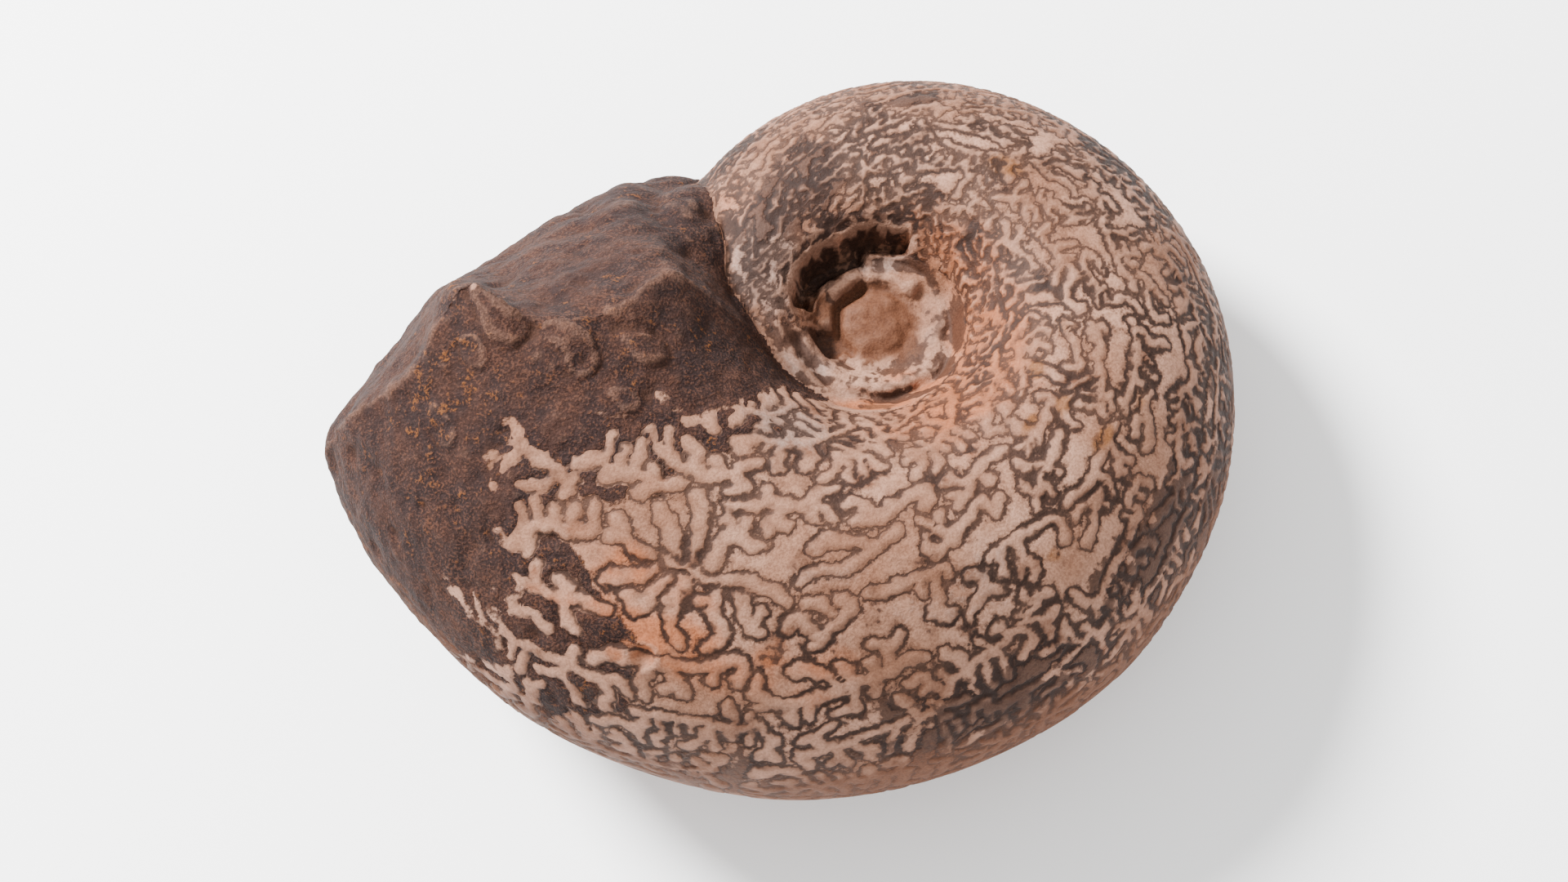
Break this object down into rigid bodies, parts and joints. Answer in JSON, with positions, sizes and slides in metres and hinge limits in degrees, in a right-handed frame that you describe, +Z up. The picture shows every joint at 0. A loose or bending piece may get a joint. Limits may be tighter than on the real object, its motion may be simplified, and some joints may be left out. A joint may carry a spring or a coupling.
{
  "type": "fossil ammonite",
  "caption": "Coiled fossil ammonite, a stone mould of the shell with its last whorl broken off, lying on its flank as a free-standing specimen.",
  "frame": {"origin": "middle of the bounding box's base, on the surface that the fossil lies on", "axes": "+X along the longest extent, from the broken end towards the coil's outer side; +Y towards the coil's far side in plan; +Z up, the short way through the fossil, nearly along the coil's axis"},
  "size_m": [0.1412, 0.1172, 0.0744],
  "materials": {
    "fossil_stone": "matte"
  },
  "bodies": {
    "root": {"ammonite": "fossil_stone"}
  },
  "joints": []
}
